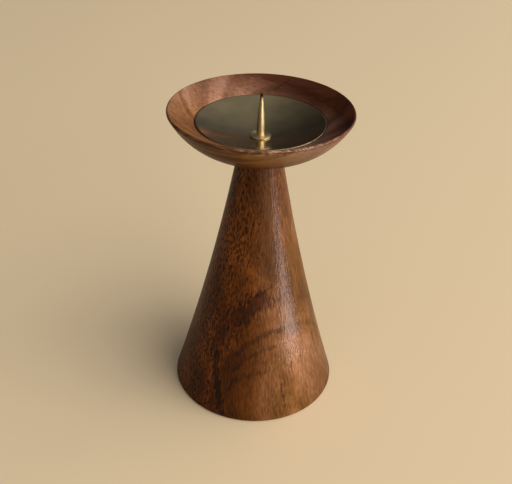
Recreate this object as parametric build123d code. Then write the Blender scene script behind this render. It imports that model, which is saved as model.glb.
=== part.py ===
"""A turned wooden candlestick for one pillar candle.

A solid conical stem with a slightly hollow flank carries a wide, shallow dish. A spun brass pan lines the
middle of the dish. A tapered brass spike stands on a flat collar in the pan. Its screw shank runs down
through the collar, the pan and the floor of the dish into the end grain of the stem, so that this one screw
and a glued tenon hold everything together. A felt pad is let into the underside of the stem.

Millimetres. +Z is up along the turning axis, and the origin is the middle of the underside of the felt.
Outlines are drawn flat, as (radius, height), and turned round Z.
"""
from build123d import *
import os
from math import acos, asin, cos, degrees, hypot, radians, sin, sqrt, tan

# Overall
rim_radius = 50.0
rim_height = 180.0

# Stem
base_radius = 49.1
neck_radius = 11.8
flank_hollow = 2.3               # how far the flank falls inside a straight cone, half way up
base_edge_round = 0.8
tenon_radius = 7.5
tenon_height = 4.0
tenon_chamfer = 0.4

# Felt pad, let into the underside of the stem
felt_radius = 43.0
felt_thickness = 2.0
felt_proud = 0.5                 # how far the felt stands below the wood
felt_clearance = 0.4

# Dish
lip_round = 0.8                  # radius of the rounded lip
wall_slope = 27.5                # degrees from level, the flared inner wall
underside_centre = (12.1, 198.8) # the underside is an arc about a ring of this radius and height
mortise_clearance = 0.05
mortise_extra_depth = 0.3
recess_gap = 0.7                 # shadow gap round the pan
recess_edge_round = 0.4
pan_clearance = 0.1              # the pan rests on a flat in the middle and clears the wood elsewhere

# Pan
pan_radius = 35.0
pan_thickness = 0.9
pan_edge_height = 173.1
pan_wall_radius = 116.5          # the wall bows below a straight cone by an arc of this radius
pan_seat_radius = 5.9            # flat that is pressed under the collar
seat_top = 164.4

# Collar
collar_radius = 5.7
collar_thickness = 0.8
collar_fall = 0.2                # how far the top slopes down towards the edge
collar_edge_round = 0.2

# Spike and its screw shank
spike_length = 23.4
spike_base_radius = 2.2
spike_middle_radius = 1.7
spike_tip_radius = 0.65
shank_radius = 1.5
shank_clearance = 0.1
thread_root_radius = 1.0
thread_pitch = 1.35
thread_length = 18.0
thread_point_length = 3.0
thread_width_share = 0.6         # width of the thread at its foot, as a share of the pitch
thread_crest_share = 0.2         # width of its crest, as a share of its foot
thread_sink = 0.25               # how far its foot is sunk into the shank
pilot_clearance = 0.02
pilot_extra_depth = 1.5

# Worked out from the above
lip_centre = (rim_radius - lip_round, rim_height - lip_round)
underside_radius = lip_round + hypot(
    lip_centre[0] - underside_centre[0], lip_centre[1] - underside_centre[1]
)
shoulder_height = underside_centre[1] - sqrt(
    underside_radius**2 - (neck_radius - underside_centre[0]) ** 2
)
tenon_top = shoulder_height + tenon_height
seat_underside = seat_top - pan_thickness
collar_top = seat_top + collar_thickness
hole_radius = shank_radius + shank_clearance
thread_top = tenon_top - thread_pitch
thread_end = thread_top - thread_length

standing = (Align.CENTER, Align.CENTER, Align.MIN)


def on_arc(centre, radius, angle):
    """The point of an arc at an angle in degrees from straight down, turning outwards."""
    return (centre[0] + radius * sin(radians(angle)), centre[1] - radius * cos(radians(angle)))


def arc(centre, radius, start, end):
    """An arc about a centre, between two angles from straight down."""
    return ThreePointArc(*[on_arc(centre, radius, a) for a in (start, (start + end) / 2, end)])


def angle_at(radius, reach):
    """The angle from straight down at which an arc has gone out by a given reach."""
    return degrees(asin(reach / radius))


def centre_above(start, start_radius, end, end_radius):
    """The point above two others that lies at a given distance from each."""
    across, rise = end[0] - start[0], end[1] - start[1]
    span = hypot(across, rise)
    along = (span**2 + start_radius**2 - end_radius**2) / (2 * span)
    aside = sqrt(start_radius**2 - along**2)
    return (
        start[0] + (along * across - aside * rise) / span,
        start[1] + (along * rise + aside * across) / span,
    )


def pan_wall():
    """The centre of the arcs of the pan's wall, and the centre of its rounded edge."""
    half = pan_thickness / 2
    edge = (pan_radius - half, pan_edge_height - half)
    return centre_above((pan_seat_radius, seat_top), pan_wall_radius, edge, pan_wall_radius + half), edge


def turned(*edges):
    """The solid that a closed outline makes when it is turned round Z."""
    return revolve(Plane.XZ * make_face(Curve() + edges), Axis.Z)


def drilled(solid, radius, bottom, top):
    """The solid with a round hole on the axis."""
    return solid - Pos(0, 0, bottom) * Cylinder(radius, top - bottom, align=standing)


def stem():
    """The hollow-flanked cone, with its tenon, pilot hole and felt recess."""
    foot, shoulder = (base_radius, felt_proud), (neck_radius, shoulder_height)
    rise, draw_in = shoulder[1] - foot[1], foot[0] - shoulder[0]
    inward = flank_hollow / hypot(rise, draw_in)
    middle = (
        (foot[0] + shoulder[0]) / 2 - inward * rise,
        (foot[1] + shoulder[1]) / 2 - inward * draw_in,
    )
    body = turned(
        ThreePointArc(foot, middle, shoulder),
        Polyline(
            shoulder,
            (tenon_radius, shoulder_height),
            (tenon_radius, tenon_top),
            (0, tenon_top),
            (0, felt_proud),
            foot,
        ),
    )
    rings = body.edges().filter_by(GeomType.CIRCLE).sort_by(Axis.Z)
    body = chamfer(rings[-1], tenon_chamfer)
    body = fillet(body.edges().filter_by(GeomType.CIRCLE).sort_by(Axis.Z)[0], base_edge_round)
    body = drilled(body, felt_radius + felt_clearance, felt_proud, felt_thickness)
    return drilled(body, thread_root_radius + pilot_clearance, thread_end - pilot_extra_depth, tenon_top)


def dish():
    """The wide dish, with the recess for the pan, the mortise for the tenon and the hole for the shank."""
    neck = angle_at(underside_radius, neck_radius - underside_centre[0])
    lip_low = angle_at(underside_radius - lip_round, lip_centre[0] - underside_centre[0])
    lip_high = 180 + wall_slope
    wall_top = on_arc(lip_centre, lip_round, lip_high)
    recess_radius = pan_radius + recess_gap
    wall_foot = (recess_radius, wall_top[1] - (wall_top[0] - recess_radius) * tan(radians(wall_slope)))
    centre, _ = pan_wall()
    floor_radius = pan_wall_radius + pan_thickness + pan_clearance
    floor_edge = angle_at(floor_radius, recess_radius - centre[0])
    flat_edge = degrees(acos((centre[1] - seat_underside) / floor_radius))
    body = turned(
        Line((0, shoulder_height), (neck_radius, shoulder_height)),
        arc(underside_centre, underside_radius, neck, lip_low),
        arc(lip_centre, lip_round, lip_low, lip_high),
        Polyline(wall_top, wall_foot, on_arc(centre, floor_radius, floor_edge)),
        arc(centre, floor_radius, floor_edge, flat_edge),
        Polyline(on_arc(centre, floor_radius, flat_edge), (0, seat_underside), (0, shoulder_height)),
    )
    rings = body.edges().filter_by(GeomType.CIRCLE).filter_by(lambda e: abs(e.radius - recess_radius) < 0.01)
    body = fillet(rings.sort_by(Axis.Z)[-1], recess_edge_round)
    body = drilled(body, tenon_radius + mortise_clearance, shoulder_height, tenon_top + mortise_extra_depth)
    return drilled(body, hole_radius, shoulder_height, seat_underside)


def drip_pan():
    """The spun brass pan: a shallow bowl, a little fuller than a cone, with a flat seat and a round edge."""
    centre, edge = pan_wall()
    under_radius = pan_wall_radius + pan_thickness
    edge_angle = degrees(acos((centre[1] - edge[1]) / (pan_wall_radius + pan_thickness / 2)))
    seat_angle = angle_at(pan_wall_radius, pan_seat_radius - centre[0])
    foot_angle = degrees(acos((centre[1] - seat_underside) / under_radius))
    return turned(
        Line((hole_radius, seat_underside), on_arc(centre, under_radius, foot_angle)),
        arc(centre, under_radius, foot_angle, edge_angle),
        arc(edge, pan_thickness / 2, edge_angle, edge_angle + 180),
        arc(centre, pan_wall_radius, edge_angle, seat_angle),
        Polyline((pan_seat_radius, seat_top), (hole_radius, seat_top), (hole_radius, seat_underside)),
    )


def collar():
    """The flat turned washer between the shoulder of the spike and the pan."""
    body = turned(
        Polyline(
            (hole_radius, seat_top),
            (collar_radius, seat_top),
            (collar_radius, collar_top - collar_fall),
            (spike_base_radius, collar_top),
            (hole_radius, collar_top),
            close=True,
        )
    )
    rings = body.edges().filter_by(GeomType.CIRCLE).filter_by(lambda e: abs(e.radius - collar_radius) < 0.01)
    return fillet(rings, collar_edge_round)


def thread():
    """The ridge of the screw thread, swept along a helix with its foot sunk into the shank."""
    path = Helix(thread_pitch, thread_length - thread_point_length, shank_radius)
    path = Pos(0, 0, thread_end + thread_point_length) * path
    foot = thread_root_radius - thread_sink - shank_radius
    foot_width = thread_pitch * thread_width_share
    crest_width = foot_width * thread_crest_share
    section = make_face(
        Polyline(
            (foot, -foot_width / 2),
            (0, -crest_width / 2),
            (0, crest_width / 2),
            (foot, foot_width / 2),
            close=True,
        )
    )
    return sweep(Plane(origin=path @ 0, z_dir=path % 0, x_dir=(1, 0, 0)) * section, path, is_frenet=True)


def spike():
    """The tapered spike, with its shoulder, plain shank, screw thread and point."""
    nose = (0, collar_top + spike_length - spike_tip_radius)
    root_top = thread_top - thread_pitch
    body = turned(
        arc(nose, spike_tip_radius, 180, 90),
        ThreePointArc(
            (spike_tip_radius, nose[1]),
            (spike_middle_radius, collar_top + spike_length / 2),
            (spike_base_radius, collar_top),
        ),
        Polyline(
            (spike_base_radius, collar_top),
            (shank_radius, collar_top),
            (shank_radius, thread_top),
            (thread_root_radius, root_top),
            (thread_root_radius, thread_end + thread_point_length),
            (0, thread_end),
            (0, nose[1] + spike_tip_radius),
        ),
    )
    return body + thread()


def felt_pad():
    """The felt disc under the stem."""
    return Cylinder(felt_radius, felt_thickness, align=standing)


os.makedirs("parts", exist_ok=True)
for make in (stem, dish, drip_pan, collar, spike, felt_pad):
    piece = make()
    box = piece.bounding_box()
    print(f"{make.__name__}: radius {box.max.X:.2f}, from {box.min.Z:.2f} to {box.max.Z:.2f}")
    export_step(piece, f"parts/{make.__name__}.step")
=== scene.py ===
import bpy
import bmesh
from math import acos, asin, cos, degrees, hypot, pi, radians, sin, sqrt, tan
from mathutils import Matrix, Vector


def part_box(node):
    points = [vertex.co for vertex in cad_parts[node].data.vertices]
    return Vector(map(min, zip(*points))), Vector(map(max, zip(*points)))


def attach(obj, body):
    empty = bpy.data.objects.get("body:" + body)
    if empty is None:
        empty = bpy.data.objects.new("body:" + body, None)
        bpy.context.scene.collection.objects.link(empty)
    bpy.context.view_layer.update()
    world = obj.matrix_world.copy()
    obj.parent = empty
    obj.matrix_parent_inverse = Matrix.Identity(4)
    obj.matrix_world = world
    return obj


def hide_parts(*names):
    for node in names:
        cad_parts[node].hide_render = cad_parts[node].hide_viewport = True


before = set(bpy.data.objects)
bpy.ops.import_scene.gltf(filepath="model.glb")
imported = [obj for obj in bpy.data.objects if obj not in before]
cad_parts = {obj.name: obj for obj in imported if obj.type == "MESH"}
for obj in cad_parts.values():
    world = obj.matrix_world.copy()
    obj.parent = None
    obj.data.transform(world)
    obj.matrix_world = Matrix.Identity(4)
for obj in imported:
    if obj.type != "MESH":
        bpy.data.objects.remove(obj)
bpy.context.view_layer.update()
scene = bpy.context.scene
mm = 0.001
print("frame loaded:", sorted(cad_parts))

# Heights and widths that the pieces share, in millimetres, from the frame
stemBox = [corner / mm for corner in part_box("stem")]
dishBox = [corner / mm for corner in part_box("dish")]
panBox = [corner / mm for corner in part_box("drip_pan")]
collarBox = [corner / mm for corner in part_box("collar")]
spikeBox = [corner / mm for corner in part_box("spike")]
feltBox = [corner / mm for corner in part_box("felt_pad")]
neckRadius = 11.8
neckHeight = dishBox[0].z  # the stem's shoulder meets the underside of the dish here
tenonRadius = 7.5
holeRadius = 1.6  # for the spike's shank
panThickness = 0.9
panWallRadius = 116.5  # the pan's wall bows below a straight cone by an arc of this radius
panSeatRadius = 5.9
seatHeight = collarBox[0].z  # flat of the pan, under the collar
seatUnder = seatHeight - panThickness


# Outlines, drawn as (radius, height) in millimetres and turned round Z


def onArc(centre, radius, angle):
    # a point of an arc, at an angle in degrees from straight down, turning outwards
    return (centre[0] + radius * sin(radians(angle)), centre[1] - radius * cos(radians(angle)))


def roundAxis(angle, reach, height):
    # a point at an angle in degrees round the axis, from 0 at the front to 90 on the right
    return (reach * sin(radians(angle)), -reach * cos(radians(angle)), height)


def centreAbove(start, startRadius, end, endRadius):
    # the point above two others that lies at a given distance from each
    across, rise = end[0] - start[0], end[1] - start[1]
    span = hypot(across, rise)
    along = (span**2 + startRadius**2 - endRadius**2) / (2 * span)
    aside = sqrt(startRadius**2 - along**2)
    return (
        start[0] + (along * across - aside * rise) / span,
        start[1] + (along * rise + aside * across) / span,
    )


def startOutline(place):
    shape = bmesh.new()
    return shape, shape.verts.new((place[0] * mm, 0, place[1] * mm))


def lineTo(shape, vert, place):
    # draws a straight run on from a vertex, and gives its end
    end = bmesh.ops.extrude_vert_indiv(shape, verts=[vert])
    end["verts"][0].co = (place[0] * mm, 0, place[1] * mm)
    return end["verts"][0]


def arcTo(shape, vert, centre, turn, steps):
    # carries the outline on round a centre by an angle in degrees, outwards from below
    made = bmesh.ops.spin(
        shape,
        geom=[vert],
        cent=(centre[0] * mm, 0, centre[1] * mm),
        axis=(0, -1, 0),
        angle=radians(turn),
        steps=steps,
    )
    return next(item for item in made["geom_last"] if isinstance(item, bmesh.types.BMVert))


def turnPiece(name, shape, steps, material, node):
    # turns the outline round Z and makes it the piece that stands for a node
    bmesh.ops.spin(
        shape,
        geom=shape.verts[:] + shape.edges[:],
        cent=(0, 0, 0),
        axis=(0, 0, 1),
        angle=2 * pi,
        steps=steps,
        use_merge=True,
    )
    return addPiece(name, shape, material, node)


def addPiece(name, shape, material, node):
    bmesh.ops.remove_doubles(shape, verts=shape.verts, dist=0.002 * mm)
    bmesh.ops.dissolve_degenerate(shape, edges=shape.edges, dist=0.001 * mm)
    bmesh.ops.recalc_face_normals(shape, faces=shape.faces)
    for face in shape.faces:
        face.smooth = True
    for edge in shape.edges:
        edge.smooth = not edge.is_manifold or edge.calc_face_angle(0) < radians(35)
    mesh = bpy.data.meshes.new(name)
    shape.to_mesh(mesh)
    shape.free()
    mesh.materials.append(material)
    piece = bpy.data.objects.new(name, mesh)
    scene.collection.objects.link(piece)
    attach(piece, "root")
    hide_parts(node)
    print("made", name, len(mesh.polygons), "faces")
    return piece


# Materials


def paint(code):
    # an sRGB hex colour as linear RGBA
    values = [int(code[i : i + 2], 16) / 255 for i in (1, 3, 5)]
    return [v / 12.92 if v <= 0.04045 else ((v + 0.055) / 1.055) ** 2.4 for v in values] + [1]


def addNode(tree, kind, inputs=None, stops=(), **settings):
    # adds a shader node with its settings, its ramp's stops, and its values or links
    node = tree.nodes.new("ShaderNode" + kind)
    for key, value in settings.items():
        setattr(node, key, value)
    for i, (place, colour) in enumerate(stops):
        ramp = node.color_ramp.elements
        stop = ramp[i] if i < len(ramp) else ramp.new(place)
        stop.position, stop.color = place, colour
    for key, value in (inputs or {}).items():
        if isinstance(value, bpy.types.NodeSocket):
            tree.links.new(value, node.inputs[key])
        else:
            node.inputs[key].default_value = value
    return node


def newMaterial(name):
    material = bpy.data.materials.new(name)
    material.use_nodes = True
    material.node_tree.nodes.clear()
    return material, material.node_tree


def finishMaterial(tree, shader):
    addNode(tree, "OutputMaterial", {"Surface": shader.outputs[0]})


def distanceToLine(tree, place, points):
    # how far a place is from a line of straight runs through the points
    nearest = None
    for start, end in zip(points, points[1:]):
        run = Vector(end) - Vector(start)
        out = addNode(tree, "VectorMath", {0: place, 1: start}, operation="SUBTRACT").outputs[0]
        share = addNode(
            tree, "VectorMath", {0: out, 1: run / run.length_squared}, operation="DOT_PRODUCT"
        ).outputs["Value"]
        share = addNode(tree, "Math", {0: share, 1: 0}, operation="ADD", use_clamp=True).outputs[0]
        foot = addNode(tree, "VectorMath", {0: run, "Scale": share}, operation="SCALE").outputs[0]
        gap = addNode(tree, "VectorMath", {0: out, 1: foot}, operation="DISTANCE").outputs["Value"]
        if nearest is not None:
            gap = addNode(tree, "Math", {0: nearest, 1: gap}, operation="MINIMUM").outputs[0]
        nearest = gap
    return nearest


# Walnut, turned, sanded and oiled: dark pores drawn out along the grain over brown growth layers, a few
# dark streaks, and a thin film of oil that gives a soft sheen broken up by the fibres
def oiledWalnut(name, look):
    material, tree = newMaterial(name)
    place = addNode(tree, "TexCoord").outputs["Object"]
    place = addNode(tree, "VectorMath", {0: place, "Scale": 1 / mm}, operation="SCALE").outputs[0]
    # millimetres, with Z along the grain
    grain = addNode(tree, "Mapping", {0: place, "Rotation": look["grainTurn"]}).outputs[0]
    # slow waves, so that the pores and fibres don't run dead straight
    waves = {"Vector": grain, "Scale": 1 / look["waveLength"], "Detail": 2}
    drift = addNode(tree, "TexNoise", waves).outputs["Color"]
    drift = addNode(tree, "VectorMath", {0: drift, 1: (0.5,) * 3}, operation="SUBTRACT").outputs[0]
    drift = addNode(
        tree, "VectorMath", {0: drift, 1: (look["waviness"],) * 2 + (0,)}, operation="MULTIPLY"
    ).outputs[0]
    wavy = addNode(tree, "VectorMath", {0: grain, 1: drift}, operation="ADD").outputs[0]
    # growth layers, as shells about a centre, which fade out away from it
    shells = addNode(
        tree, "Mapping", {0: wavy, "Location": look["layerCentre"], "Scale": look["layerStretch"]}
    ).outputs[0]
    depth = addNode(tree, "VectorMath", {0: shells}, operation="LENGTH").outputs["Value"]
    layers = addNode(
        tree,
        "TexNoise",
        {"W": depth, "Scale": 1 / look["layerSpacing"], "Detail": 3, "Roughness": 0.5},
        noise_dimensions="1D",
    ).outputs["Fac"]
    start, end = look["layerFade"]
    shown = addNode(tree, "MapRange", {0: depth, 1: start, 2: end, 3: look["layerShare"], 4: 0}).outputs[0]
    # the core is plain, and the layers come in over half its depth
    core = look["plainCore"]
    outside = addNode(tree, "MapRange", {0: depth, 1: core, 2: 1.5 * core}).outputs[0]
    shown = addNode(tree, "Math", {0: shown, 1: outside}, operation="MULTIPLY").outputs[0]
    layers = addNode(tree, "Math", {0: layers, 1: 0.5}, operation="SUBTRACT").outputs[0]
    layers = addNode(tree, "Math", {0: layers, 1: shown}, operation="MULTIPLY").outputs[0]
    # fibres
    fibres = addNode(tree, "Mapping", {0: wavy, "Scale": look["fibreScale"]}).outputs[0]
    fibres = addNode(tree, "TexNoise", {"Vector": fibres, "Scale": 1, "Detail": 3}).outputs["Fac"]
    # broad clouds
    clouds = addNode(tree, "Mapping", {0: wavy, "Scale": look["cloudStretch"]}).outputs[0]
    clouds = {"Vector": clouds, "Scale": 1 / look["cloudSize"], "Detail": 2}
    clouds = addNode(tree, "TexNoise", clouds).outputs["Fac"]
    # how coarse the wood is: pores are thick in some places and gone in others
    coarse = addNode(tree, "VectorMath", {0: place, 1: look["coarseWay"]}, operation="DOT_PRODUCT")
    coarse = addNode(
        tree, "Math", {0: clouds, 1: 1.2, 2: coarse.outputs["Value"]}, operation="MULTIPLY_ADD"
    )
    coarse = addNode(tree, "MapRange", {0: coarse.outputs[0], 1: 0.7, 2: 1.7}).outputs[0]
    # flecks and pores, drawn coarser than they are so that they show
    pores = addNode(tree, "Mapping", {0: wavy, "Scale": look["poreScale"]}).outputs[0]
    pores = addNode(tree, "TexNoise", {"Vector": pores, "Scale": 1, "Detail": 2.5}).outputs["Fac"]
    flecks = addNode(tree, "Math", {0: pores, 1: 0.5}, operation="SUBTRACT").outputs[0]
    flecks = addNode(tree, "Math", {0: flecks, 1: coarse}, operation="MULTIPLY").outputs[0]
    mix = layers
    for part, share in ((flecks, "fleckShare"), (fibres, "fibreShare"), (clouds, "cloudShare")):
        mix = addNode(tree, "Math", {0: part, 1: look[share], 2: mix}, operation="MULTIPLY_ADD").outputs[0]
    tone = addNode(
        tree, "ValToRGB", {0: mix}, stops=[(at, paint(code)) for at, code in look["tones"]]
    ).outputs[0]
    level = addNode(
        tree, "MapRange", {0: coarse, 1: 0, 2: 1, 3: look["poreLow"], 4: look["poreHigh"]}
    ).outputs[0]
    pores = addNode(tree, "Math", {0: level, 1: pores}, operation="SUBTRACT").outputs[0]
    pores = addNode(tree, "MapRange", {0: pores, 1: 0, 2: 0.1}).outputs[0]
    colour = addNode(
        tree,
        "Mix",
        {0: pores, 6: tone, 7: paint(look["poreColour"])},
        data_type="RGBA",
        blend_type="MULTIPLY",
    ).outputs[2]
    # a tint that changes along one way through the piece. It was tuned against the real piece as it stood
    # in its room, so it holds some of that light and shade as well as the drift of the wood's own colour
    across = addNode(tree, "VectorMath", {0: place, 1: look["tintFrom"]}, operation="SUBTRACT").outputs[0]
    across = addNode(tree, "VectorMath", {0: across, 1: look["tintWay"]}, operation="DOT_PRODUCT")
    across = addNode(tree, "MapRange", {0: across.outputs["Value"], 1: -1, 2: 1}).outputs[0]
    tint = addNode(
        tree, "ValToRGB", {0: across}, stops=[(at, paint(code)) for at, code in look["shadeAndColourTints"]]
    ).outputs[0]
    colour = addNode(
        tree, "Mix", {0: 1, 6: colour, 7: tint}, data_type="RGBA", blend_type="MULTIPLY"
    ).outputs[2]
    # a second tint, on faces that look down, tuned in the same way: painted shade that darkens them and
    # turns them more golden
    facing = addNode(tree, "SeparateXYZ", {0: addNode(tree, "TexCoord").outputs["Normal"]}).outputs["Z"]
    under = addNode(tree, "MapRange", {0: facing, 1: 0.1, 2: -0.1}).outputs[0]
    colour = addNode(
        tree,
        "Mix",
        {0: under, 6: colour, 7: paint(look["underShadeTint"])},
        data_type="RGBA",
        blend_type="MULTIPLY",
    ).outputs[2]
    # streaks, with edges that wander with the fibres
    wander = addNode(tree, "Math", {0: fibres, 1: 0.5}, operation="SUBTRACT").outputs[0]
    for streak in look["streaks"]:
        gap = distanceToLine(tree, place, streak["line"])
        gap = addNode(
            tree, "Math", {0: wander, 1: 2 * streak["width"] + 1, 2: gap}, operation="MULTIPLY_ADD"
        ).outputs[0]
        solidWidth = 0.3 * streak["width"]
        mark = addNode(
            tree,
            "MapRange",
            {0: gap, 1: solidWidth, 2: streak["width"], 3: streak["strength"], 4: 0},
            interpolation_type="SMOOTHSTEP",
        ).outputs[0]
        colour = addNode(
            tree,
            "Mix",
            {0: mark, 6: colour, 7: paint(streak["colour"])},
            data_type="RGBA",
            blend_type="MULTIPLY",
        ).outputs[2]
    height = addNode(tree, "Math", {0: pores, 1: -0.1, 2: fibres}, operation="MULTIPLY_ADD").outputs[0]
    bump = addNode(
        tree, "Bump", {"Height": height, "Strength": look["bump"], "Distance": look["bumpHeight"] * mm}
    ).outputs[0]
    rough = addNode(
        tree, "MapRange", {0: fibres, 1: 0.3, 2: 0.7, 3: look["roughLow"], 4: look["roughHigh"]}
    ).outputs[0]
    shader = addNode(
        tree,
        "BsdfPrincipled",
        {
            "Base Color": colour,
            "Roughness": rough,
            "IOR": 1.46,
            "Specular IOR Level": look["specular"],
            "Coat Weight": look["coat"],
            "Coat Roughness": look["coatRoughness"],
            "Normal": bump,
            "Coat Normal": bump,
        },
    )
    finishMaterial(tree, shader)
    return material


# Brass, spun or turned, then polished: very fine rings round the axis blur what it mirrors. Its tones are
# duller than clean brass, partly for tarnish and partly for dark surroundings that this scene doesn't have
def spunBrass(name, look):
    material, tree = newMaterial(name)
    place = addNode(tree, "TexCoord").outputs["Object"]
    flat = addNode(tree, "VectorMath", {0: place, 1: (1 / mm, 1 / mm, 0)}, operation="MULTIPLY")
    radius = addNode(tree, "VectorMath", {0: flat.outputs[0]}, operation="LENGTH").outputs["Value"]
    rings = addNode(
        tree,
        "TexNoise",
        {"W": radius, "Scale": 1 / look["ringSpacing"], "Detail": 2},
        noise_dimensions="1D",
    ).outputs["Fac"]
    stain = {"Vector": place, "Scale": 1 / (look["stainSize"] * mm), "Detail": 4}
    stain = addNode(tree, "TexNoise", stain).outputs["Fac"]
    colour = addNode(
        tree, "ValToRGB", {0: stain}, stops=[(at, paint(code)) for at, code in look["tones"]]
    ).outputs[0]
    rough = addNode(
        tree, "MapRange", {0: stain, 1: 0.3, 2: 0.7, 3: look["roughLow"], 4: look["roughHigh"]}
    ).outputs[0]
    bump = addNode(
        tree, "Bump", {"Height": rings, "Strength": look["bump"], "Distance": look["bumpHeight"] * mm}
    ).outputs[0]
    if "soot" in look:
        # soot, which thickens between two heights
        rise = addNode(tree, "SeparateXYZ", {0: place}).outputs["Z"]
        low, high = look["soot"]
        soot = addNode(tree, "MapRange", {0: rise, 1: low * mm, 2: high * mm}).outputs[0]
        colour = addNode(
            tree, "Mix", {0: soot, 6: colour, 7: paint(look["sootColour"])}, data_type="RGBA"
        ).outputs[2]
    # the tool's marks run round the axis, which draws highlights out along it
    marks = addNode(tree, "Tangent", direction_type="RADIAL", axis="Z").outputs[0]
    shader = addNode(
        tree,
        "BsdfPrincipled",
        {
            "Base Color": colour,
            "Metallic": 1,
            "Roughness": rough,
            "Anisotropic": look["toolMarks"],
            "Anisotropic Rotation": 0.25,
            "Tangent": marks,
            "Normal": bump,
        },
    )
    finishMaterial(tree, shader)
    return material


# Wool felt, pressed: matt, with a fine nap
def woolFelt(name, look):
    material, tree = newMaterial(name)
    place = addNode(tree, "TexCoord").outputs["Object"]
    nap = {"Vector": place, "Scale": 1 / (look["napSize"] * mm), "Detail": 6}
    nap = addNode(tree, "TexNoise", nap).outputs["Fac"]
    colour = addNode(
        tree, "ValToRGB", {0: nap}, stops=[(at, paint(code)) for at, code in look["tones"]]
    ).outputs[0]
    bump = addNode(
        tree, "Bump", {"Height": nap, "Strength": look["bump"], "Distance": look["bumpHeight"] * mm}
    ).outputs[0]
    shader = addNode(
        tree,
        "BsdfPrincipled",
        {
            "Base Color": colour,
            "Roughness": 0.95,
            "Sheen Weight": 0.3,
            "Sheen Roughness": 0.5,
            "Normal": bump,
        },
    )
    finishMaterial(tree, shader)
    return material


# Stem: a cone with a slightly hollow flank, its tenon and the recess for the felt
stem = {"footRadius": 49.1, "hollow": 2.3, "edgeRound": 0.8, "recessRadius": 43.4, "recessTop": 2.0}
foot, neck = (stem["footRadius"], stemBox[0].z), (neckRadius, neckHeight)
slant = hypot(neck[1] - foot[1], foot[0] - neck[0])
flankRadius = (slant**2 / 4 + stem["hollow"] ** 2) / (2 * stem["hollow"])
# the flank's centre lies far outside, level with the middle of the slant and square to it
lean = degrees(asin((foot[0] - neck[0]) / slant))
half = degrees(asin(slant / 2 / flankRadius))
flankCentre = (
    (foot[0] + neck[0]) / 2 + (flankRadius - stem["hollow"]) * cos(radians(lean)),
    (foot[1] + neck[1]) / 2 + (flankRadius - stem["hollow"]) * sin(radians(lean)),
)


def onFlank(*marks):
    # places on the flank, from angles round the axis and heights
    places = []
    for angle, height in marks:
        reach = flankCentre[0] - sqrt(flankRadius**2 - (height - flankCentre[1]) ** 2)
        places.append(roundAxis(angle, reach, height))
    return places


stemLook = {
    "grainTurn": (0, 0, 0),
    "waveLength": 16,
    "waviness": 3.0,
    "layerCentre": (-25, 40, 0),
    "layerStretch": (1, 1, 0.86),
    "layerSpacing": 9,
    "plainCore": 30,
    "layerFade": (42, 68),
    "layerShare": 0.32,
    "fibreScale": (0.9, 0.9, 0.03),
    "fibreShare": 0.25,
    "fleckShare": 0.38,
    "cloudSize": 22,
    "cloudStretch": (1, 1, 0.4),
    "cloudShare": 0.5,
    "tones": [(0.25, "#422404"), (0.34, "#5f3a12"), (0.42, "#7c502a"), (0.52, "#9d6e4e")],
    "tintFrom": (0, 0, 0),
    "tintWay": (0.024, 0, 0),
    # painted shade and light mixed with the wood's own colour: darker and more orange towards -X, the side
    # away from the lights, and lighter towards +X
    "shadeAndColourTints": [
        (0.2, "#d2a64c"),
        (0.48, "#bca064"),
        (0.6, "#cfc4b8"),
        (0.7, "#e8e4e0"),
        (0.79, "#ffffff"),
        (0.92, "#dcdce8"),
    ],
    "underShadeTint": "#ffffff",
    "poreScale": (1.2, 1.2, 0.3),
    "poreLow": 0.28,
    "poreHigh": 0.52,
    "coarseWay": (-0.03, 0, 0.006),
    "poreColour": "#927658",
    "streaks": [
        # the dark streak low on the left, and a broad darker patch beside it that is partly shade
        {
            "line": onFlank((-35, 37), (-33, 27), (-28, 16), (-22, 2)),
            "width": 3.4,
            "strength": 0.75,
            "colour": "#4a3428",
        },
        {
            "line": onFlank((-42, 16), (-37, 2)),
            "width": 16.0,
            "strength": 0.5,
            "colour": "#a07c66",
        },
        # not figure but shade, high on the right, where the lights alone leave the wood too bright
        {
            "line": onFlank((73, 158), (72, 124)),
            "width": 14.0,
            "strength": 0.6,
            "colour": "#a08c88",
        },
        # the broad band that rises across the front, and three arcs below it
        {
            "line": onFlank((-37, 40), (-27, 57), (-11, 68), (8, 76)),
            "width": 9.0,
            "strength": 0.8,
            "colour": "#8a6a58",
        },
        {
            "line": onFlank((-25, 36), (-7, 48), (5, 53), (18, 56), (29, 56)),
            "width": 2.4,
            "strength": 0.35,
            "colour": "#7a6050",
        },
        {
            "line": onFlank((-17, 31), (-8, 39), (5, 44), (18, 46)),
            "width": 1.8,
            "strength": 0.42,
            "colour": "#7a6050",
        },
        {
            "line": onFlank((-22, 15), (-16, 24), (-3, 30), (10, 31)),
            "width": 2.2,
            "strength": 0.42,
            "colour": "#7a6050",
        },
        # the thin dark line half way up
        {
            "line": onFlank((-13, 71), (2, 78), (19, 83)),
            "width": 1.0,
            "strength": 0.7,
            "colour": "#6a5446",
        },
        # small upright marks low on the right
        {"line": onFlank((23, 22), (23, 18)), "width": 0.9, "strength": 0.6, "colour": "#503c30"},
        {"line": onFlank((24, 15), (24, 8)), "width": 0.9, "strength": 0.6, "colour": "#503c30"},
        {"line": onFlank((46, 41), (45, 34)), "width": 0.8, "strength": 0.6, "colour": "#5e483a"},
        {"line": onFlank((34, 34), (34, 28)), "width": 0.8, "strength": 0.6, "colour": "#5e483a"},
        {"line": onFlank((67, 42), (69, 28)), "width": 0.9, "strength": 0.6, "colour": "#8a4a30"},
    ],
    "bump": 0.8,
    "bumpHeight": 0.35,
    "roughLow": 0.42,
    "roughHigh": 0.56,
    "specular": 0.05,
    "coat": 0.2,
    "coatRoughness": 0.14,
}
shape, vert = startOutline((0, stem["recessTop"]))
vert = lineTo(shape, vert, (stem["recessRadius"], stem["recessTop"]))
vert = lineTo(shape, vert, (stem["recessRadius"], foot[1]))
footVert = lineTo(shape, vert, foot)
vert = arcTo(shape, footVert, flankCentre, -2 * half, 120)
vert.co = (neck[0] * mm, 0, neck[1] * mm)
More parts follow.
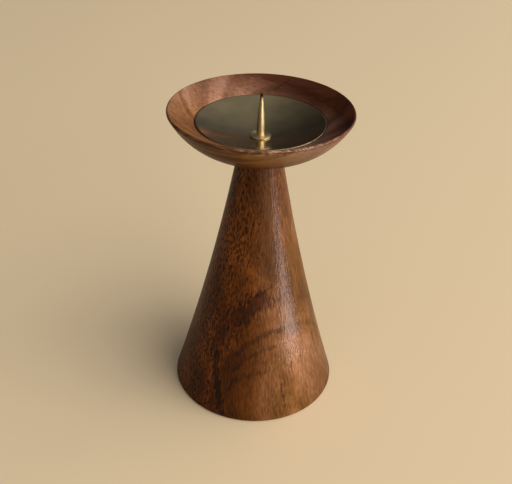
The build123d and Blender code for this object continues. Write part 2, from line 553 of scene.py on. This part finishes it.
vert = lineTo(shape, vert, (tenonRadius, neck[1]))
vert = lineTo(shape, vert, (tenonRadius, stemBox[1].z))
vert = lineTo(shape, vert, (0, stemBox[1].z))
bmesh.ops.bevel(
    shape,
    geom=[footVert],
    offset=stem["edgeRound"] * mm,
    offset_type="OFFSET",
    segments=6,
    profile=0.5,
    affect="VERTICES",
    material=-1,
)
stemWalnut = oiledWalnut("oiledWalnutStem", stemLook)
turnPiece("walnutStem", shape, 256, stemWalnut, "stem")


# Dish: a round lip, an arched underside, a flared wall and a shallow recess for the pan
dish = {
    "lipRound": 0.8,
    "wallSlope": 27.5,
    "underCentre": (12.1, 198.8),
    "recessGap": 0.7,
    "floorGap": 0.1,
    "arrisRound": 0.4,
}
# the lip is darker along the front than along the back, which may be shade as much as wood
lipLine = [roundAxis(angle, dishBox[1].x - 0.4, dishBox[1].z - 1) for angle in range(-75, 46, 15)]
dishLook = dict(
    stemLook,
    grainTurn=(radians(90), radians(61), 0),
    waviness=2.0,
    layerCentre=(-90, 0, 0),
    layerStretch=(1, 1, 0.02),
    layerSpacing=4.5,
    plainCore=1,
    layerFade=(500, 600),
    layerShare=0.45,
    fibreShare=0.3,
    fleckShare=0.1,
    poreHigh=0.32,
    tones=[(0.26, "#694832"), (0.36, "#845d46"), (0.44, "#9a715a"), (0.56, "#b68e77")],
    tintFrom=(0, 0, 172),
    tintWay=(0.012, 0.008, 0.05),
    # painted shade and light mixed with the wood's own colour: darker and more golden low on the outside
    # towards the front and left, and darker on the inner wall towards the right and back, which faces away
    # from the lights
    shadeAndColourTints=[
        (0.16, "#c0a25b"),
        (0.36, "#e6d6b0"),
        (0.6, "#fffcff"),
        (0.77, "#cdb9b0"),
        (0.88, "#89654f"),
    ],
    # painted shade under the dish: faces that look down are darker and more golden
    underShadeTint="#c2c4b0",
    streaks=[
        {
            "line": [roundAxis(169, 39, 174.5), roundAxis(160, 48, 178.5)],
            "width": 1.0,
            "strength": 0.45,
            "colour": "#6e5348",
        },
        {"line": lipLine, "width": 1.5, "strength": 0.7, "colour": "#8c6450"},
    ],
    bump=0.3,
)
halfSheet = panThickness / 2
panEdge = (panBox[1].x - halfSheet, panBox[1].z - halfSheet)
panCentre = centreAbove((panSeatRadius, seatHeight), panWallRadius, panEdge, panWallRadius + halfSheet)
lipCentre = (dishBox[1].x - dish["lipRound"], dishBox[1].z - dish["lipRound"])
under = dish["underCentre"]
underRadius = dish["lipRound"] + hypot(lipCentre[0] - under[0], lipCentre[1] - under[1])
neckAngle = degrees(asin((neckRadius - under[0]) / underRadius))
lipLow = degrees(asin((lipCentre[0] - under[0]) / (underRadius - dish["lipRound"])))
lipHigh = 180 + dish["wallSlope"]
wallTop = onArc(lipCentre, dish["lipRound"], lipHigh)
recessRadius = panBox[1].x + dish["recessGap"]
wallDrop = (wallTop[0] - recessRadius) * tan(radians(dish["wallSlope"]))
# the floor follows the underside of the pan at a small gap, down to the flat that carries it
floorRadius = panWallRadius + panThickness + dish["floorGap"]
floorEdge = degrees(asin((recessRadius - panCentre[0]) / floorRadius))
flatEdge = degrees(acos((panCentre[1] - seatUnder) / floorRadius))
shape, vert = startOutline((holeRadius, neckHeight))
vert = lineTo(shape, vert, (neckRadius, neckHeight))
vert = arcTo(shape, vert, under, lipLow - neckAngle, 72)
vert = arcTo(shape, vert, lipCentre, lipHigh - lipLow, 16)
arris = lineTo(shape, vert, (recessRadius, wallTop[1] - wallDrop))
vert = lineTo(shape, arris, onArc(panCentre, floorRadius, floorEdge))
vert = arcTo(shape, vert, panCentre, flatEdge - floorEdge, 32)
vert = lineTo(shape, vert, (holeRadius, seatUnder))
lineTo(shape, vert, (holeRadius, neckHeight))
bmesh.ops.bevel(
    shape,
    geom=[arris],
    offset=dish["arrisRound"] * mm,
    offset_type="OFFSET",
    segments=5,
    profile=0.5,
    affect="VERTICES",
    material=-1,
)
dishWalnut = oiledWalnut("oiledWalnutDish", dishLook)
turnPiece("walnutDish", shape, 256, dishWalnut, "dish")


# Pan: a shallow spun bowl, nearly a cone, with a flat seat and a rounded edge
panLook = {
    "ringSpacing": 0.8,
    "stainSize": 9,
    "tones": [(0.3, "#a4936c"), (0.7, "#b2a07a")],
    "roughLow": 0.15,
    "roughHigh": 0.22,
    "bump": 0.2,
    "bumpHeight": 0.02,
    "toolMarks": 0.2,
}
panUnder = panWallRadius + panThickness
edgeAngle = degrees(acos((panCentre[1] - panEdge[1]) / (panWallRadius + halfSheet)))
seatAngle = degrees(asin((panSeatRadius - panCentre[0]) / panWallRadius))
footAngle = degrees(acos((panCentre[1] - seatUnder) / panUnder))
shape, vert = startOutline((holeRadius, seatUnder))
vert = lineTo(shape, vert, onArc(panCentre, panUnder, footAngle))
vert = arcTo(shape, vert, panCentre, edgeAngle - footAngle, 48)
vert = arcTo(shape, vert, panEdge, 180, 14)
vert = arcTo(shape, vert, panCentre, seatAngle - edgeAngle, 48)
vert = lineTo(shape, vert, (holeRadius, seatHeight))
lineTo(shape, vert, (holeRadius, seatUnder))
panBrass = spunBrass("spunBrass", panLook)
turnPiece("brassPan", shape, 256, panBrass, "drip_pan")


# Collar: a flat washer whose top falls slightly outwards, of the same brass as the spike
spikeLook = {
    "ringSpacing": 0.3,
    "stainSize": 9,
    "tones": [(0.3, "#dcc08c"), (0.7, "#f0d8a8")],
    "roughLow": 0.3,
    "roughHigh": 0.4,
    "bump": 0.5,
    "bumpHeight": 0.02,
    "toolMarks": 0.9,
    "soot": (spikeBox[1].z - 4.5, spikeBox[1].z - 1.5),
    "sootColour": "#2a1a10",
}
spikeBrass = spunBrass("turnedBrass", spikeLook)
collar = {"radius": collarBox[1].x, "fall": 0.2, "edgeRound": 0.2, "innerRadius": 2.2}
shape, vert = startOutline((holeRadius, seatHeight))
low = lineTo(shape, vert, (collar["radius"], seatHeight))
high = lineTo(shape, low, (collar["radius"], collarBox[1].z - collar["fall"]))
vert = lineTo(shape, high, (collar["innerRadius"], collarBox[1].z))
vert = lineTo(shape, vert, (holeRadius, collarBox[1].z))
lineTo(shape, vert, (holeRadius, seatHeight))
bmesh.ops.bevel(
    shape,
    geom=[low, high],
    offset=collar["edgeRound"] * mm,
    offset_type="OFFSET",
    segments=4,
    profile=0.5,
    affect="VERTICES",
    material=-1,
)
turnPiece("brassCollar", shape, 96, spikeBrass, "collar")


# Spike: a tapered point with a rounded tip, over a plain shank with a screw thread and a point
spike = {
    "baseRadius": 2.2,
    "middleRadius": 1.7,
    "tipRadius": 0.65,
    "shankRadius": 1.5,
    "rootRadius": 1.0,
    "pointHeight": 3.0,
    "threadPitch": 1.35,
    "threadLength": 18.0,
    "threadFoot": 0.81,
    "threadCrest": 0.16,
    "threadSink": 0.25,
    "threadSteps": 30,
    "taperSteps": 24,
}
nose = (0, spikeBox[1].z - spike["tipRadius"])
base = (spike["baseRadius"], collarBox[1].z)
threadTop = spikeBox[0].z + spike["threadLength"]
threadFloor = spikeBox[0].z + spike["pointHeight"]
shape, vert = startOutline((0, spikeBox[1].z))
vert = arcTo(shape, vert, nose, -90, 8)
bow = spike["middleRadius"] - (spike["tipRadius"] + spike["baseRadius"]) / 2
top = vert.co.copy() / mm
for i in range(1, spike["taperSteps"] + 1):
    share = i / spike["taperSteps"]
    radius = top.x + (base[0] - top.x) * share + 4 * bow * share * (1 - share)
    vert = lineTo(shape, vert, (radius, top.z + (base[1] - top.z) * share))
vert = lineTo(shape, vert, (spike["shankRadius"], base[1]))
vert = lineTo(shape, vert, (spike["shankRadius"], threadTop))
vert = lineTo(shape, vert, (spike["rootRadius"], threadTop - spike["threadPitch"]))
vert = lineTo(shape, vert, (spike["rootRadius"], threadFloor))
lineTo(shape, vert, (0, spikeBox[0].z))
bmesh.ops.spin(
    shape,
    geom=shape.verts[:] + shape.edges[:],
    cent=(0, 0, 0),
    axis=(0, 0, 1),
    angle=2 * pi,
    steps=48,
    use_merge=True,
)
# the thread's ridge, carried round and up from a section whose foot is sunk into the shank
foot = spike["rootRadius"] - spike["threadSink"]
ridge = [
    (foot, -spike["threadFoot"] / 2),
    (spike["shankRadius"], -spike["threadCrest"] / 2),
    (spike["shankRadius"], spike["threadCrest"] / 2),
    (foot, spike["threadFoot"] / 2),
]
corners = [shape.verts.new((radius * mm, 0, (threadFloor + height) * mm)) for radius, height in ridge]
section = shape.faces.new(corners)
threadTurns = (spike["threadLength"] - spike["pointHeight"]) / spike["threadPitch"]
bmesh.ops.spin(
    shape,
    geom=[section, *section.edges, *corners],
    cent=(0, 0, 0),
    axis=(0, 0, 1),
    dvec=(0, 0, spike["threadPitch"] * mm / spike["threadSteps"]),
    angle=2 * pi * threadTurns,
    steps=round(spike["threadSteps"] * threadTurns),
)
addPiece("brassSpike", shape, spikeBrass, "spike")


# Felt: a soft-edged disc
feltLook = {
    "tones": [(0.3, "#18201a"), (0.7, "#2a342b")],
    "napSize": 0.6,
    "bump": 0.8,
    "bumpHeight": 0.3,
}
felt = {"edgeRound": 0.25}
shape, vert = startOutline((0, feltBox[0].z))
low = lineTo(shape, vert, (feltBox[1].x, feltBox[0].z))
high = lineTo(shape, low, (feltBox[1].x, feltBox[1].z))
lineTo(shape, high, (0, feltBox[1].z))
bmesh.ops.bevel(
    shape,
    geom=[low, high],
    offset=felt["edgeRound"] * mm,
    offset_type="OFFSET",
    segments=3,
    profile=0.5,
    affect="VERTICES",
    material=-1,
)
greenFelt = woolFelt("woolFelt", feltLook)
turnPiece("feltPad", shape, 128, greenFelt, "felt_pad")


# Floor, lights and camera
floorLook = {"halfWidth": 4.0, "colour": "#efd7b0", "roughness": 0.6}
floorShape = bmesh.new()
bmesh.ops.create_grid(floorShape, x_segments=1, y_segments=1, size=floorLook["halfWidth"])
floorMesh = bpy.data.meshes.new("floor")
floorShape.to_mesh(floorMesh)
floorShape.free()
floor = bpy.data.objects.new("floor", floorMesh)
scene.collection.objects.link(floor)
floorPaint, tree = newMaterial("paleFloor")
matt = {"Base Color": paint(floorLook["colour"]), "Roughness": floorLook["roughness"]}
finishMaterial(tree, addNode(tree, "BsdfPrincipled", matt))
floorMesh.materials.append(floorPaint)

# soft grey surroundings, which brighten towards the side of the lights
surroundings = {
    "brightWay": (0.8, -0.5, 0.33),
    "greys": [
        (0.25, "#2e2e2e"),
        (0.45, "#666668"),
        (0.57, "#8c8c8e"),
        (0.75, "#929292"),
        (1.0, "#b0b0b0"),
    ],
    "strength": 1.3,
}
scene.world = bpy.data.worlds.new("surroundings")
scene.world.use_nodes = True
tree = scene.world.node_tree
tree.nodes.clear()
direction = addNode(tree, "TexCoord").outputs["Generated"]
brightWay = Vector(surroundings["brightWay"]).normalized()
towards = addNode(tree, "VectorMath", {0: direction, 1: brightWay}, operation="DOT_PRODUCT")
towards = addNode(tree, "MapRange", {0: towards.outputs["Value"], 1: -1, 2: 1}).outputs[0]
sky = addNode(
    tree, "ValToRGB", {0: towards}, stops=[(at, paint(code)) for at, code in surroundings["greys"]]
).outputs[0]
background = addNode(tree, "Background", {"Color": sky, "Strength": surroundings["strength"]})
addNode(tree, "OutputWorld", {"Surface": background.outputs[0]})


def addSoftLight(name, look):
    # a rectangular light that faces the middle of the object
    light = bpy.data.lights.new(name, "AREA")
    light.shape = "RECTANGLE"
    light.size, light.size_y = look["size"]
    light.energy = look["power"]
    light.color = paint(look["colour"])[:3]
    lamp = bpy.data.objects.new(name, light)
    rise = radians(look["rise"])
    away = Vector(roundAxis(look["around"], cos(rise), sin(rise)))
    target = Vector((0, 0, 90 * mm))
    lamp.location = target + away * look["distance"]
    lamp.rotation_euler = away.to_track_quat("Z", "Y").to_euler()
    scene.collection.objects.link(lamp)
    return lamp


# a long, low light on the right, and a shorter one nearer the front
addSoftLight(
    "windowRow",
    {"size": (14.0, 1.6), "power": 290, "colour": "#fff8ec", "around": 80, "rise": 18, "distance": 4.0},
)
addSoftLight(
    "nearWindow",
    {"size": (6.0, 1.8), "power": 150, "colour": "#fffaf4", "around": 54, "rise": 20, "distance": 4.0},
)
# a strip that lies face up on the floor beside the candlestick, whose reflection is the streak on the stem.
# It is hidden from the camera and adds no diffuse light, so the streak is all that it gives
strip = {
    "size": (0.5, 0.09),
    "power": 2.5,
    "colour": "#fbf4fb",
    "around": 64,
    "rise": 0,
    "distance": 0.41,
}
glow = addSoftLight("floorStrip", strip)
glow.location.z = 3 * mm
glow.rotation_euler = (pi, 0, radians(strip["around"] - 90))
glow.visible_camera = False
glow.visible_diffuse = False

stand = {"back": 399.9, "height": 356.8, "pan": 0.098, "down": 33.1, "roll": 1.73, "lens": 57.7}
camera = bpy.data.cameras.new("camera")
camera.lens = stand["lens"]
camera.sensor_width = 36
camera.clip_start = 0.01
view = bpy.data.objects.new("camera", camera)
view.location = (0, -stand["back"] * mm, stand["height"] * mm)
turn = Matrix.Rotation(radians(stand["pan"]), 3, "Z")
turn = turn @ Matrix.Rotation(radians(90 - stand["down"]), 3, "X")
turn = turn @ Matrix.Rotation(radians(stand["roll"]), 3, "Z")
view.rotation_euler = turn.to_euler()
scene.collection.objects.link(view)
scene.camera = view
scene.view_settings.view_transform = "Standard"
